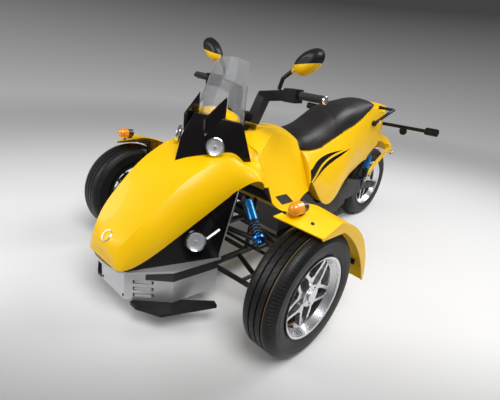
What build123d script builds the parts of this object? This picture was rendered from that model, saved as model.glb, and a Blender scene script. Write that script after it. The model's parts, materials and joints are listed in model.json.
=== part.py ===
from build123d import *
from math import cos, degrees, radians, sin
import os

# Three-wheel roadster: two steered wheels in front, one driven wheel behind.
# Millimetres, X forward, Y left, Z up, wheels on Z = 0.
# Places are measured from the front axle line; AXLE_X then centres the length on the origin.

AXLE_X = 733.0
WHEELBASE = 1603.0
HALF_TRACK = 625.0
TYRE_R = 262.0
FRONT_TYRE_W = 150.0
REAR_TYRE_W = 164.0
BEAD_R = 158.0
FLANGE_R = 170.0
SPOKE_COUNT = 5
STUB_R = 15.5
BORE_R = 16.0
KINGPIN_Y = 520.0
PIN_R = 8.0
EYE_R = 24.0
ARM_REACH = 110.0
HOOD_SLOPE = 0.62
CHIN_X = 446.0
CHIN_Z = 252.0
STEER_FOOT = (-217.0, 0.0, 772.0)
RAKE_DEG = 15.0
SEAT_GAP = 0.3
SCREEN_R = 230.0
SCREEN_T = 4.0


def place(x, y, z):
    return Pos(x, y, z)


def block(x_span, y_span, z_span):
    size = [high - low for low, high in (x_span, y_span, z_span)]
    middle = [(high + low) / 2 for low, high in (x_span, y_span, z_span)]
    return Pos(*middle) * Box(*size)


def rod(start, end, radius):
    a = Vector(*start)
    b = Vector(*end)
    bar = Cylinder(radius, (b - a).length, align=(Align.CENTER, Align.CENTER, Align.MIN))
    return Plane(origin=a, z_dir=b - a) * bar


def beam(start, end, depth, height, extra=0.0):
    a = Vector(*start)
    b = Vector(*end)
    along = (b - a).normalized()
    across = Vector(1, 0, 0) - along * along.X
    bar = Box(depth, height, (b - a).length + 2 * extra)
    return Plane(origin=(a + b) / 2, x_dir=across, z_dir=along) * bar


def plan_prism(points, low, high):
    outline = make_face(Polyline(*[(x, y, low) for x, y in points], close=True))
    return extrude(outline, high - low, dir=(0, 0, 1))


def side_prism(points, low, high):
    outline = make_face(Polyline(*[(x, low, z) for x, z in points], close=True))
    return extrude(outline, high - low, dir=(0, 1, 0))


def polyhedron(points, faces):
    sides = []
    for face in faces:
        corners = [Vector(*points[i]) for i in face]
        sides.append(Face(Wire.make_polygon(corners, close=True)))
    return Solid(Shell(sides))


def right_of(shape):
    return mirror(shape, about=Plane.XZ)


def pair(shape):
    return [shape, right_of(shape)]


def bulged(a, b, bulge):
    (_, y0, z0), (_, y1, z1) = a, b
    length = ((y1 - y0) ** 2 + (z1 - z0) ** 2) ** 0.5
    return (a[0], (y0 + y1) / 2 + bulge * (z1 - z0) / length, (z0 + z1) / 2 - bulge * (y1 - y0) / length)


def crowned(x, top, crease_y, crease_z, edge_y, edge_z, bulge):
    crease = (x, crease_y, crease_z)
    edge = (x, edge_y, edge_z)
    far_crease = (x, -crease_y, crease_z)
    far_edge = (x, -edge_y, edge_z)
    mid = bulged(edge, crease, bulge)
    far_mid = (x, -mid[1], mid[2])
    flank = ThreePointArc(edge, mid, crease)
    roof = ThreePointArc(crease, (x, 0, top), far_crease)
    far_flank = ThreePointArc(far_crease, far_mid, far_edge)
    floor = Line(far_edge, edge)
    return Face(Wire([flank, roof, far_flank, floor]))


def save(name, *solids):
    shape = solids[0] if len(solids) == 1 else Compound(children=list(solids))
    export_step(Pos(AXLE_X, 0, 0) * shape, f"parts/{name}.step")


os.makedirs("parts", exist_ok=True)

# Wheels: revolved about Y at the origin, then set on their hubs.


# Tyre wall from bead to tread: radius, inset from the full half width
TYRE_WALL = [
    (BEAD_R + SEAT_GAP, 19),
    (184, 6),
    (212, 0),
    (242, 5),
    (257, 17),
    (TYRE_R, 34),
]


def tyre(width):
    wall = [(r, width / 2 - inset) for r, inset in TYRE_WALL]
    far_wall = [(r, -y) for r, y in reversed(wall)]
    return revolve(make_face(Polyline(*wall, *far_wall, close=True)), Axis.Y, 360)


# Leg of a forked spoke: radius, angle from the arm's centre line, half width
SPOKE_LEG = [
    (54, 4.0, 9.5),
    (74, 11.0, 8.0),
    (95, 19.0, 7.5),
    (116, 25.0, 7.5),
    (135, 28.0, 8.5),
    (151, 29.0, 12.0),
]


def polar(radius, angle):
    return (radius * cos(radians(angle)), radius * sin(radians(angle)))


def spoke_outlines():
    faces = []
    for arm in range(SPOKE_COUNT):
        centre = 90 + arm * 360 / SPOKE_COUNT
        stem = [polar(40, centre - 17), polar(40, centre + 17), polar(78, centre + 10), polar(78, centre - 10)]
        faces.append(make_face(Polyline(*stem, close=True)))
        for side in (1, -1):
            outer = [polar(r, centre + side * (a + degrees(h / r))) for r, a, h in SPOKE_LEG]
            inner = [polar(r, centre + side * (a - degrees(h / r))) for r, a, h in reversed(SPOKE_LEG)]
            faces.append(make_face(Polyline(*outer, *inner, close=True)))
    return Sketch() + faces


def rim(width, hub_in, disc_y, disc_r):
    lip = width / 2 - 4
    barrel_points = [
        (FLANGE_R, lip),
        (FLANGE_R, lip - 6),
        (BEAD_R, lip - 7),
        (BEAD_R, -lip + 7),
        (FLANGE_R, -lip + 6),
        (FLANGE_R, -lip),
        (BEAD_R - 8, -lip + 14),
        (BEAD_R - 10, lip - 40),
        (BEAD_R - 16, lip - 32),
        (BEAD_R + 4, lip - 3),
    ]
    barrel = revolve(make_face(Polyline(*barrel_points, close=True)), Axis.Y, 360)
    face_plane = Plane(origin=(0, lip - 30, 0), x_dir=(1, 0, 0), z_dir=(0, -1, 0))
    spokes = extrude(face_plane * spoke_outlines(), 20)
    hub = rod((0, hub_in, 0), (0, lip - 22, 0), 46)
    cap = rod((0, lip - 22, 0), (0, lip - 14, 0), 24)
    disc = rod((0, disc_y, 0), (0, disc_y + 5, 0), disc_r)
    wheel = barrel + spokes + hub + cap + disc
    for lug in range(SPOKE_COUNT):
        x, z = polar(34, 54 + lug * 360 / SPOKE_COUNT)
        wheel -= rod((x, lip - 34, z), (x, lip, z), 7)
    return wheel


front_rim = rim(FRONT_TYRE_W, -46, -46.5, 108) - rod((0, -60, 0), (0, 22, 0), BORE_R)
rear_rim = rim(REAR_TYRE_W, -66, -60, 100)
AXLE_R = 10.0
rear_rim -= rod((0, -120, 0), (0, 120, 0), AXLE_R + 0.5)
left_hub = place(0, HALF_TRACK, TYRE_R)
rear_hub = place(-WHEELBASE, 0, TYRE_R)
front_tyre = tyre(FRONT_TYRE_W)
save("front_tyre_left", left_hub * front_tyre)
save("front_tyre_right", right_of(left_hub * front_tyre))
save("front_rim_left", left_hub * front_rim)
save("front_rim_right", right_of(left_hub * front_rim))
save("rear_tyre", rear_hub * tyre(REAR_TYRE_W))
save("rear_rim", rear_hub * rear_rim)

# Knuckles: upright, stub axle, kingpins, steering arm, caliper lug and mudguard stays

UPRIGHT_LOW = TYRE_R - 105
UPRIGHT_HIGH = TYRE_R + 105
EYE_H = 28.0
PIVOT_GAP = 2.0
ROD_Z = {"left": 247.0, "right": 225.0}
CALIPER_AT = polar(98, 55)


def knuckle(rod_z):
    body = block((-20, 20), (500, 540), (UPRIGHT_LOW, UPRIGHT_HIGH))
    body += rod((0, 530, TYRE_R), (0, HALF_TRACK + 18, TYRE_R), STUB_R)
    body += rod((0, KINGPIN_Y, UPRIGHT_LOW - EYE_H), (0, KINGPIN_Y, UPRIGHT_HIGH + EYE_H), PIN_R)
    body += block((-ARM_REACH, -15), (KINGPIN_Y - 11, KINGPIN_Y + 11), (rod_z - 24, rod_z - 9))
    body += rod((-ARM_REACH, KINGPIN_Y, rod_z - 24), (-ARM_REACH, KINGPIN_Y, rod_z - 9), 16)
    body += rod((-ARM_REACH, KINGPIN_Y, rod_z - 12), (-ARM_REACH, KINGPIN_Y, rod_z + 8), 6)
    lug_x, lug_z = CALIPER_AT
    body += block((10, lug_x + 14), (530, HALF_TRACK - 66 - SEAT_GAP), (TYRE_R + 50, TYRE_R + lug_z + 8))
    body += block((-56, -16), (524, 540), (330, 352))
    body += block((-56, -40), (524, 540), (330, 568))
    body += block((-56, 10), (524, 556), (560, 568))
    body += block((-346, -16), (524, 536), (270, 292))
    body += block((-352.4, -342), (524, 660), (270, 292))
    return body


def caliper():
    lug_x, lug_z = CALIPER_AT
    shoe = Pos(lug_x, HALF_TRACK - 44, TYRE_R + lug_z) * Rot(0, -55, 0) * Box(48, 44, 66)
    return shoe - left_hub * rod((0, -50, 0), (0, -38, 0), 111)


# Mudguard edges, side view (x, z): front tip, crown, shoulder, rear tip
GUARD_IN = [(140, 577), (-20, 587), (-250, 482), (-375, 205)]
GUARD_OUT = [(50, 532), (-60, 564), (-257, 457), (-372, 205)]
GUARD_IN_Y = 548.0
GUARD_OUT_Y = 706.0
GUARD_T = 5.0


def inward(point, depth):
    x, z = point
    away = Vector(x, 0, z - TYRE_R).normalized()
    return (x - away.X * depth, z - away.Z * depth)


def guard_section(edge, y):
    tip, crown, shoulder, tail = edge
    lower = [inward(p, GUARD_T) for p in edge]
    at = [(x, y, z) for x, z in (tip, crown, shoulder, tail)]
    under = [(x, y, z) for x, z in lower]
    lines = [
        Line(at[0], at[1]),
        ThreePointArc(at[1], at[2], at[3]),
        Line(at[3], under[3]),
        ThreePointArc(under[3], under[2], under[1]),
        Line(under[1], under[0]),
        Line(under[0], at[0]),
    ]
    return Face(Wire(lines))


def mudguard():
    top = loft([guard_section(GUARD_IN, GUARD_IN_Y), guard_section(GUARD_OUT, GUARD_OUT_Y)], ruled=True)
    tip, crown, shoulder, tail = [(x, GUARD_OUT_Y, z) for x, z in (inward(p, GUARD_T / 2) for p in GUARD_OUT)]
    lip = [(-362, GUARD_OUT_Y, 205), (-242, GUARD_OUT_Y, 400), (-95, GUARD_OUT_Y, 516), (50, GUARD_OUT_Y, 522)]
    lines = [
        Line(tip, crown),
        ThreePointArc(crown, shoulder, tail),
        Line(tail, lip[0]),
        ThreePointArc(lip[0], lip[1], lip[2]),
        Line(lip[2], lip[3]),
        Line(lip[3], tip),
    ]
    flange = extrude(Face(Wire(lines)), 4, dir=(0, -1, 0))
    return top + flange


def front_indicator():
    lens = rod((52, 590, 606), (78, 590, 606), 24) + Pos(78, 590, 606) * Sphere(24)
    return lens + rod((22, 590, 602), (52, 590, 606), 20) + block((28, 48), (580, 600), (577, 600))


for side, flip in (("left", False), ("right", True)):
    pieces = {
        "knuckle": knuckle(ROD_Z[side]),
        "caliper": caliper(),
        "front_fender": mudguard(),
        "front_indicator": front_indicator(),
    }
    for name, piece in pieces.items():
        save(f"{name}_{side}", right_of(piece) if flip else piece)

# Steering linkage: a pitman on an upright shaft and two level tie rods


def eye(x, y, z, radius, height, bore):
    ring = Pos(x, y, z) * Cylinder(radius, height)
    return ring - Pos(x, y, z) * Cylinder(bore, height + 2)


def tie_rod(z):
    ends = eye(-ARM_REACH, KINGPIN_Y, z, 15, 13, 6.5) + eye(-ARM_REACH, 0, z, 15, 13, 6.5)
    return ends + rod((-ARM_REACH, 14, z), (-ARM_REACH, KINGPIN_Y - 14, z), 8)


pitman = rod((0, 0, 200), (0, 0, 296), 12) + rod((0, 0, 200), (0, 0, 214), 22)
pitman += block((-ARM_REACH, 0), (-14, 14), (200, 214)) + rod((-ARM_REACH, 0, 200), (-ARM_REACH, 0, 214), 16)
pitman += rod((-ARM_REACH, 0, 212), (-ARM_REACH, 0, 256), 6)
save("pitman", pitman)
save("tie_rod_left", tie_rod(ROD_Z["left"]))
save("tie_rod_right", right_of(tie_rod(ROD_Z["right"])))

# Front suspension arms, shock absorbers and springs

RAIL_Y = 150.0
RAIL_Z = 150.0
RAIL_R = 16.0
UPPER_RAIL_Y = 170.0
UPPER_RAIL_Z = 365.0
UPPER_RAIL_R = 14.0
ARM_TUBE_R = 12.0
SHOCK_TOP = (-30.0, 268.0, 500.0)
SHOCK_FOOT = (50.0, 434.0, 391.0)


def suspension_arm(eye_z, inner_y, inner_z):
    hub = Pos(0, KINGPIN_Y, eye_z) * Cylinder(EYE_R, EYE_H - PIVOT_GAP)
    arm = hub
    for x in (-130, 32):
        arm += rod((0, KINGPIN_Y - 10, eye_z), (x, inner_y, inner_z), ARM_TUBE_R)
    arm += rod((-74, 330, (eye_z + inner_z) / 2), (18, 330, (eye_z + inner_z) / 2), 9)
    return arm - Pos(0, KINGPIN_Y, eye_z) * Cylinder(PIN_R + 0.5, EYE_H + 4)


lower_arm = suspension_arm(UPRIGHT_LOW - PIVOT_GAP / 2 - EYE_H / 2, RAIL_Y + RAIL_R + 5, RAIL_Z)
upper_eye_z = UPRIGHT_HIGH + PIVOT_GAP / 2 + EYE_H / 2
upper_arm = suspension_arm(upper_eye_z, UPPER_RAIL_Y + UPPER_RAIL_R + 5, UPPER_RAIL_Z)
upper_arm += rod((4, 432, upper_eye_z - 7), (64, 436, upper_eye_z - 7), 10)
save("suspension_arms", *pair(lower_arm), *pair(upper_arm))


def along(start, end, share):
    return tuple(a + (b - a) * share for a, b in zip(start, end))


def shock_body(top, foot, radius):
    body = rod(along(top, foot, 0.06), along(top, foot, 0.5), radius)
    body += rod(top, along(top, foot, 0.1), radius * 0.45)
    body += rod(along(top, foot, 0.88), along(top, foot, 0.92), radius * 1.2)
    return body + rod(along(top, foot, 0.5), foot, radius * 0.36)


def coil(top, foot, radius, wire, turns):
    a = Vector(*along(top, foot, 0.5))
    b = Vector(*along(top, foot, 0.88))
    height = (b - a).length - 2 * wire - 2 * SEAT_GAP
    path = Helix(height / turns, height, radius)
    section = Plane(origin=path @ 0, z_dir=path % 0) * RegularPolygon(wire, 6)
    spring = sweep(section, path, is_frenet=True)
    return Plane(origin=a, z_dir=b - a) * Pos(0, 0, wire + SEAT_GAP) * spring


REAR_SHOCK_TOP = (-1436.0, 112.0, 517.0)
REAR_SHOCK_FOOT = (-1424.0, 112.0, 316.0)
save(
    "shock_bodies",
    *pair(shock_body(SHOCK_TOP, SHOCK_FOOT, 22)),
    shock_body(REAR_SHOCK_TOP, REAR_SHOCK_FOOT, 20),
)
save(
    "springs",
    *pair(coil(SHOCK_TOP, SHOCK_FOOT, 20, 5, 5)),
    coil(REAR_SHOCK_TOP, REAR_SHOCK_FOOT, 19, 5, 5),
)

# Nose: hood, lamp panel, chin ledge, bumper and its dark trim

# Hood sections: x, top, crease y, crease z, edge y, edge z, flank bulge
HOOD = [
    (490, 296, 66, 294, 96, 258, 5),
    (474, 348, 96, 338, 132, 262, 9),
    (440, 382, 120, 392, 152, 275, 13),
    (386, 431, 138, 452, 174, 308, 17),
    (303, 508, 152, 528, 193, 360, 20),
    (200, 598, 164, 606, 210, 424, 22),
    (100, 650, 178, 652, 226, 486, 20),
    (0, 676, 190, 670, 244, 546, 16),
    (-140, 716, 194, 676, 258, 524, 12),
]
hood = loft([crowned(*row) for row in HOOD])
save("hood", hood)


def hood_floor(x):
    return 272 + (CHIN_X - x) * HOOD_SLOPE


panel_points = []
for s in (1, -1):
    panel_points += [
        (446, s * 132, CHIN_Z + SEAT_GAP),
        (446, s * 132, hood_floor(446)),
        (4, s * 242, hood_floor(4)),
        (92, s * 252, CHIN_Z + SEAT_GAP),
    ]
panel_faces = [(0, 1, 2), (0, 2, 3), (4, 6, 5), (4, 7, 6), (0, 4, 5, 1), (1, 5, 6, 2), (2, 6, 7, 3), (3, 7, 4, 0)]
lamp_panel = polyhedron(panel_points, panel_faces) - Pos(0, 0, -SEAT_GAP) * hood
save("lamp_panel", lamp_panel)

LEDGE = [(497, 0), (493, 50), (482, 96), (452, 142), (306, 232), (80, 256)]
BUMPER = [(447, 0), (447, 95), (306, 228), (100, 250), (90, 250)]


def both_sides(half):
    return half + [(x, -y) for x, y in reversed(half) if y > 0]


save("chin_ledge", plan_prism(both_sides(LEDGE), 242, CHIN_Z))
bumper = plan_prism(both_sides(BUMPER), 100, 242 - SEAT_GAP)
slot = plan_prism([(425, 120), (365, 177), (335, 145), (395, 88)], 0, 17)
for z in (116, 147, 178):
    for half in pair(Pos(0, 0, z) * slot):
        bumper -= half
save("bumper", bumper)
WING = [(436, 120), (436, 160), (383, 262), (170, 350), (160, 322), (300, 205), (330, 120)]
save("skid_lip", *pair(plan_prism(WING, 84, 100 - SEAT_GAP)))

# Cowl: V-shaped prow with two horns and the dash behind them

# Half of the cowl's corners: prow foot, prow brow, crown, horn tip, screen corner, rear foot, horn root
PROW_FOOT = (168, 0, 596)
PROW_BROW = (136, 0, 728)
CROWN = (70, 0, 828)
HORN_TIP = (-24, 87, 901)
SCREEN_CORNER = (-63, 163, 803)
REAR_FOOT = (-113, 206, 600)
HORN_ROOT = (-70, 70, 812)
cowl_points = [PROW_FOOT, PROW_BROW, CROWN, HORN_TIP, SCREEN_CORNER, REAR_FOOT, HORN_ROOT]
cowl_points += [(x, -y, z) for x, y, z in (HORN_TIP, SCREEN_CORNER, REAR_FOOT, HORN_ROOT)]
cowl_faces = [
    (0, 5, 4),
    (0, 4, 1),
    (1, 4, 2),
    (2, 4, 3),
    (2, 3, 6),
    (3, 4, 6),
    (6, 4, 5),
    (0, 8, 9),
    (0, 1, 8),
    (1, 2, 8),
    (2, 7, 8),
    (2, 10, 7),
    (7, 10, 8),
    (10, 9, 8),
    (2, 6, 10),
    (6, 5, 9, 10),
    (0, 9, 5),
]
cowl = polyhedron(cowl_points, cowl_faces)
cowl += block((-132, -66), (-84, 84), (700, 836))
cowl -= Pos(0, 0, SEAT_GAP) * hood
save("cowl", cowl)

# Round lamps: centre of the lens, facing direction, radius
LAMPS = [
    ((50, 124, 706), (0.66, 0.72, 0.2), 40),
    ((197, 220, 347), (0.62, 0.74, 0.26), 41),
]


def lamp(centre, facing, radius):
    out = Vector(*facing).normalized()
    back = Vector(*centre) - out * 12
    bezel = Plane(origin=back, z_dir=out) * Cylinder(radius, 22, align=(Align.CENTER, Align.CENTER, Align.MIN))
    return bezel


lamps = [lamp(*row) - cowl - lamp_panel - hood for row in LAMPS]
save("headlamps", *[solid for half in lamps for solid in pair(half)])

# Windscreen: slice of a leaning cylinder with rounded upper corners

SCREEN_FOOT = (5.0, 0.0, 803.0)
SCREEN_TOP = (-105.0, 0.0, 1063.0)
lean = Vector(*SCREEN_TOP) - Vector(*SCREEN_FOOT)
screen_plane = Plane(origin=SCREEN_FOOT, x_dir=(0, 1, 0), z_dir=lean)
shell = Pos(0, SCREEN_R, 140) * (Cylinder(SCREEN_R, 420) - Cylinder(SCREEN_R - SCREEN_T, 422))
tall = lean.length
outline = make_face(Polyline((-169, -20), (169, -20), (105, tall), (-105, tall), close=True))
outline = fillet(outline.vertices().sort_by(Axis.Y)[-2:], 46)
window = extrude(Plane.XZ * outline, 200, dir=(0, 1, 0))
screen = screen_plane * (shell & Pos(0, -10, 0) * window)
screen -= Pos(0, 0, SEAT_GAP) * cowl
save("windscreen", screen.solids().sort_by(SortBy.VOLUME)[-1])

# Centre body and tail: crowned sections as for the hood

CENTRE = [
    (-140.3, 716, 192, 684, 258, 522, 12),
    (-190, 738, 182, 688, 312, 446, -10),
    (-300, 752, 130, 730, 318, 408, -26),
    (-420, 756, 112, 724, 268, 410, -14),
    (-545, 716, 106, 684, 232, 438, 6),
]
TAIL = [
    (-548, 629.5, 150, 628, 231, 438, 14),
    (-724, 637.5, 150, 636, 228, 330, 26),
    (-862, 683.5, 150, 682, 224, 336, 26),
    (-931, 707.5, 150, 706, 212, 381, 24),
    (-1041, 735.5, 146, 734, 182, 425, 20),
    (-1200, 789.5, 132, 788, 142, 450, 14),
    (-1400, 848, 112, 834, 114, 480, 8),
    (-1560, 858, 96, 846, 96, 590, 4),
]

# Recesses in the flanks and the darker inlays that line them
RECESS_DEPTH = 12.0
INLAY_DEPTH = 5.0
FLANK_IN_Y = 110.0
FLANK_REACH = 240.0
VENT_TIP = (-556, 458)
VENT_HEEL = (-556, 545)
VENT_BACK = (-730, 596)
VENT_TAIL = (-1008, 614)
VENT_BELLY = (-760, 540)
FIN_START = (-530, 448)
FIN_MIDDLE = (-730, 556)
FIN_END = (-1040, 618)
FIN_W = 8.0
DUCT = [(-206, 487), (-322, 470), (-364, 427), (-240, 445)]


def on_flank(x, z, lift=0.0):
    return (x, FLANK_IN_Y, z + lift)


def vent_faces():
    tip, heel, back, end, belly = [on_flank(*point) for point in (VENT_TIP, VENT_HEEL, VENT_BACK, VENT_TAIL, VENT_BELLY)]
    crescent = Face(Wire([Line(tip, heel), ThreePointArc(heel, back, end), ThreePointArc(end, belly, tip)]))
    low = [on_flank(*point) for point in (FIN_START, FIN_MIDDLE, FIN_END)]
    high = [on_flank(*point, FIN_W) for point in (FIN_END, FIN_MIDDLE, FIN_START)]
    fin = Face(Wire([ThreePointArc(*low), Line(low[2], high[0]), ThreePointArc(*high), Line(high[2], low[0])]))
    return (crescent - fin).faces()


def sunk(body, face):
    well = extrude(face, FLANK_REACH, dir=(0, 1, 0)) - Pos(0, -RECESS_DEPTH, 0) * body
    filler = extrude(offset(face, -SEAT_GAP), FLANK_REACH, dir=(0, 1, 0)) & Pos(0, -INLAY_DEPTH, 0) * body
    filler -= Pos(0, SEAT_GAP - RECESS_DEPTH, 0) * body
    return well, filler


centre_body = loft([crowned(*row) for row in CENTRE])
tank_cap = side_prism([(-252, 724), (-268, 769), (-392, 753), (-424, 724)], -58, 58)
tank_cap = fillet(tank_cap.faces().sort_by(Axis.Z)[-1].edges(), 9)
duct_well, duct_inlay = sunk(centre_body, make_face(Polyline(*[on_flank(*point) for point in DUCT], close=True)))
centre_body += tank_cap
for half in pair(duct_well):
    centre_body -= half
save("centre_body", centre_body)
save("side_ducts", *pair(duct_inlay))
arch = rear_hub * rod((0, -300, 0), (0, 300, 0), 312)
tail_body = loft([crowned(*row) for row in TAIL]) - arch
vents = [sunk(tail_body, face) for face in vent_faces()]
for well, filler in vents:
    for half in pair(well):
        tail_body -= half
save("tail_body", tail_body)
save("side_vents", *[solid for well, filler in vents for solid in pair(filler)])

# Seat sections in the same form, carried on the tail's flat top
SEAT = [
    (-552, 700, 80, 690, 130, 637, 8),
    (-600, 716, 100, 702, 148, 631, 12),
    (-724, 742, 110, 722, 151, 636, 14),
    (-862, 800, 112, 780, 151, 682, 14),
    (-931, 832, 112, 812, 151, 706, 14),
    (-1041, 862, 110, 842, 147, 735, 14),
    (-1200, 882, 104, 864, 133, 789, 12),
    (-1330, 888, 90, 876, 118, 847, 8),
    (-1372, 880, 70, 874, 100, 853, 4),
]
seat = loft([crowned(*row) for row in SEAT])
save("seat", seat - Pos(0, 0, SEAT_GAP) * tail_body)

FAIRING = [
    (-430, 392),
    (-545, 424),
    (-610, 384),
    (-680, 330),
    (-862, 330),
    (-935, 366),
    (-1010, 404),
    (-1010, 262),
    (-900, 216),
    (-700, 206),
    (-480, 256),
    (-430, 320),
]
fairing = side_prism(FAIRING, 168, 216) - Pos(0, 0, -SEAT_GAP) * tail_body - Pos(0, 0, -SEAT_GAP) * centre_body
save("lower_fairing", *pair(fairing))
BOARD = [(-450, 138), (-450, 240), (-520, 296), (-760, 296), (-840, 240), (-840, 138)]
save("footboards", *pair(plan_prism(BOARD, RAIL_Z + RAIL_R + SEAT_GAP, 182)))

# Frame: lower rails, front towers, cross tubes, steering gear and swingarm posts

FRAME_FRONT = 85.0
FRAME_REAR = -1120.0
PIVOT_X = -1130.0
PIVOT_Z = 285.0
PIVOT_R = 14.0
CROSS_R = 12.0
CROSS_X = (46, -195, -440, -560, -930, -1060)
POST_X = (30, -195)
TOWER_X = -30.0
TOWER_Z = 500.0
rails = pair(rod((FRAME_FRONT, RAIL_Y, RAIL_Z), (FRAME_REAR, RAIL_Y, RAIL_Z), RAIL_R))
rail_room = Part() + pair(rod((FRAME_FRONT, RAIL_Y, RAIL_Z), (FRAME_REAR, RAIL_Y, RAIL_Z), RAIL_R + SEAT_GAP))
save("frame_rails", *rails)
cross_tubes = [rod((x, -RAIL_Y, RAIL_Z), (x, RAIL_Y, RAIL_Z), CROSS_R) - rail_room for x in CROSS_X]
save("frame_crossbars", *[tube.solids().sort_by(Axis.Y)[0] for tube in cross_tubes])
upper_rail = ((POST_X[0] + 16, UPPER_RAIL_Y, UPPER_RAIL_Z), (POST_X[1] - 20, UPPER_RAIL_Y, UPPER_RAIL_Z))
side_frame = rod(*upper_rail, UPPER_RAIL_R)
for x in POST_X:
    side_frame += rod((x, RAIL_Y, RAIL_Z), (x, UPPER_RAIL_Y, UPPER_RAIL_Z), CROSS_R)
side_frame += rod((POST_X[1], UPPER_RAIL_Y, UPPER_RAIL_Z), (POST_X[1], UPPER_RAIL_Y + 6, 470), CROSS_R)
side_frame += rod((TOWER_X, UPPER_RAIL_Y, UPPER_RAIL_Z), (TOWER_X, UPPER_RAIL_Y + 26, TOWER_Z), CROSS_R)
side_frame += rod((TOWER_X, UPPER_RAIL_Y + 10, TOWER_Z), (TOWER_X, 244, TOWER_Z), 14)
side_frame -= rail_room
side_frame -= Pos(0, 0, -SEAT_GAP) * centre_body
upper_room = Part() + pair(rod(*upper_rail, UPPER_RAIL_R + SEAT_GAP))
yokes = []
for x in POST_X:
    yoke = rod((x, -UPPER_RAIL_Y, UPPER_RAIL_Z), (x, UPPER_RAIL_Y, UPPER_RAIL_Z), CROSS_R) - upper_room
    yokes.append(yoke.solids().sort_by(SortBy.VOLUME)[-1])
gear = block((-40, 40), (-36, 36), (264, 320)) + block((-30, 36), (-20, 20), (318, 360))
yokes[0] = yokes[0] + gear - rod((0, 0, 200), (0, 0, 298), 12.5)
save("front_frame", *pair(side_frame), *yokes)
mount = rod((PIVOT_X, -122, PIVOT_Z), (PIVOT_X, 122, PIVOT_Z), PIVOT_R)
for s in (1, -1):
    mount += rod((FRAME_REAR + 12, s * RAIL_Y, RAIL_Z), (PIVOT_X, s * 60, PIVOT_Z), 14)
    mount += rod((PIVOT_X, s * 60, PIVOT_Z), (PIVOT_X, s * 60, 470), 14)
mount -= block((FRAME_REAR - 40, FRAME_REAR + 60), (-200, 200), (RAIL_Z - 40, RAIL_Z + RAIL_R + SEAT_GAP))
mount -= Pos(0, 0, -SEAT_GAP) * tail_body
save("swingarm_mount", mount)
save("engine_block", block((-1010, -480), (-118, 118), (RAIL_Z + 12 + SEAT_GAP, 300)))

# Rear end: swingarm with axle, mudguard with stays, lamp bar, handles, exhaust



def swingarm_top(x):
    return 304 - 18 * (-1106 - x) / 494


SWINGARM = [(-1106, 304), (-1106, 262), (-1600, 240), (-1640, 250), (-1640, 276), (-1600, 286)]
CHAIN_CASE = [(-1030, 300), (-1127, 388), (-1320, 350), (-1345, 256), (-1145, 240)]
swingarm = side_prism(SWINGARM, 94, 116) + side_prism(SWINGARM, -116, -94)
swingarm += side_prism(CHAIN_CASE, 114, 148)
swingarm += rod((-WHEELBASE, -122, TYRE_R), (-WHEELBASE, 122, TYRE_R), AXLE_R)
swingarm += rod((-WHEELBASE, 68, TYRE_R), (-WHEELBASE, 95, TYRE_R), 17)
swingarm += rod((-WHEELBASE, -95, TYRE_R), (-WHEELBASE, -70, TYRE_R), 17)
swingarm += block((-1290, -1250), (-100, 100), (262, 292))
swingarm += block((-1444, -1404), (94, 122), (270, 315.7))
swingarm -= rod((PIVOT_X, -160, PIVOT_Z), (PIVOT_X, 160, PIVOT_Z), PIVOT_R + SEAT_GAP)
save("swingarm", swingarm)

GUARD_R = 375.0


def rim_point(radius, angle):
    return (-WHEELBASE + radius * cos(radians(angle)), TYRE_R + radius * sin(radians(angle)))


def rear_band(inner, outer, start, end, low, high):
    middle = (start + end) / 2
    a, b, c = [(x, low, z) for x, z in (rim_point(outer, t) for t in (start, middle, end))]
    d, e, f = [(x, low, z) for x, z in (rim_point(inner, t) for t in (end, middle, start))]
    face = Face(Wire([ThreePointArc(a, b, c), Line(c, d), ThreePointArc(d, e, f), Line(f, a)]))
    return extrude(face, high - low, dir=(0, 1, 0))


guard = rear_band(GUARD_R - 6, GUARD_R, 84, 143, -72, 72)
for s in (1, -1):
    low, high = sorted((s * 68, s * 74))
    guard += rear_band(GUARD_R - 50, GUARD_R, 84, 140, low, high)
    guard += beam((-1770, s * 100, 530), (-1484, s * 100, 347), 34, 10)
    guard += beam((-1484, s * 100, 352), (-1484, s * 100, swingarm_top(-1472) + SEAT_GAP), 24, 10)
    low, high = sorted((s * 70, s * 105))
    guard += block((-1790, -1752), (low, high), (520, 560))
save("rear_fender", guard)


def rear_indicator():
    x, z = rim_point(GUARD_R - 2, 143)
    stalk = rod((x - 0.9, 62, z - 0.5), (-1936, 62, 462), 9)
    return stalk + Pos(-1943, 62, 460) * Sphere(20)


save("rear_indicators", *pair(rear_indicator()))
save("tail_lamp", block((-1572, -1560 - SEAT_GAP), (-62, 62), (762, 812)))
bar = block((-1596, -1560 - SEAT_GAP), (-50, 50), (700, 744))
for s in (1, -1):
    bar += beam((-1584, s * 40, 722), (-1484, s * 440, 748), 24, 20, 4)
    bar += rod((-1486, s * 432, 748), (-1468, s * 504, 752), 24)
    bar += rod((-1540, s * 262, 712), (-1500, s * 280, 712), 24)
    bar += rod((-1528, s * 268, 712), (-1524, s * 270, 740), 8)
save("rear_lamp_bar", bar)


def tube(points, radius):
    shape = rod(points[0], points[1], radius)
    for a, b in zip(points[1:], points[2:]):
        shape += Pos(*a) * Sphere(radius)
        shape += rod(a, b, radius)
    return shape


def flank_y(body, x, z, reach):
    probe = rod((x, 0, z), (x, 400, z), reach)
    return (body & probe).bounding_box().max.Y + SEAT_GAP


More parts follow.
